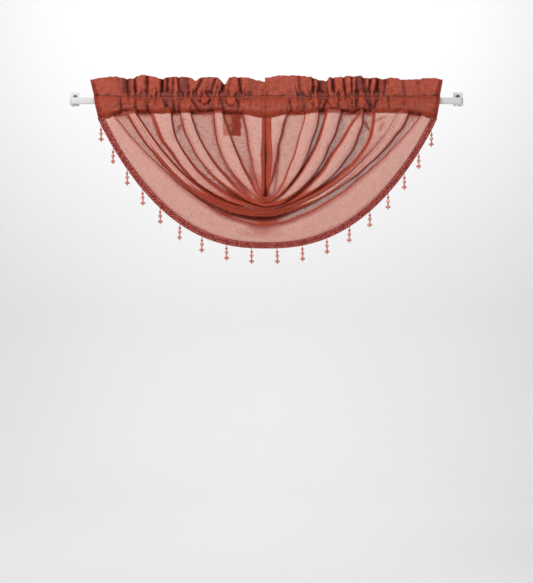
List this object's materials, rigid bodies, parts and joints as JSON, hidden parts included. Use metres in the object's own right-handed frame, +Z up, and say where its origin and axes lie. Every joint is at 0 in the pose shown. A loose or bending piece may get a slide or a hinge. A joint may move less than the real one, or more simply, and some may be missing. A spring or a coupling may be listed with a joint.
{
  "type": "sheer beaded swag valance on a flat curtain rod",
  "caption": "Sheer rust swag valance with a gathered rod-pocket heading, curved waterfall folds and a beaded braid edge, hung on a flat white curtain rod with wall brackets.",
  "frame": {"origin": "on the wall plane, midway between the two brackets, at the height of the rod's centre line", "axes": "+X along the rod toward the right end as seen from the room, +Y from the room into the wall, +Z up; the wall is the plane y = 0 and the cloth hangs in the room at y below 0"},
  "size_m": [0.912, 0.069, 0.432],
  "materials": {
    "voile": "sheer crinkled voile, rust or terracotta, single layer in the swag and double in the heading",
    "braid": "flat woven gimp braid, dark rust",
    "beads": "translucent rose and rust acrylic beads on thread",
    "rod": "smooth white enamel",
    "bracket": "white enamelled steel",
    "screw": "darkened steel, round head",
    "label": "plain woven satin ribbon, blank"
  },
  "bodies": {
    "root": {"swag": "voile", "heading_left": "voile", "heading_right": "voile", "trim": "braid", "drop_01": "beads", "drop_02": "beads", "drop_03": "beads", "drop_04": "beads", "drop_05": "beads", "drop_06": "beads", "drop_07": "beads", "drop_08": "beads", "drop_09": "beads", "drop_10": "beads", "drop_11": "beads", "drop_12": "beads", "drop_13": "beads", "drop_14": "beads", "drop_15": "beads", "drop_16": "beads", "drop_17": "beads", "drop_18": "beads", "care_label": "label", "rod": "rod", "bracket_left": "bracket", "bracket_right": "bracket", "screw_left": "screw", "screw_right": "screw"}
  },
  "joints": []
}
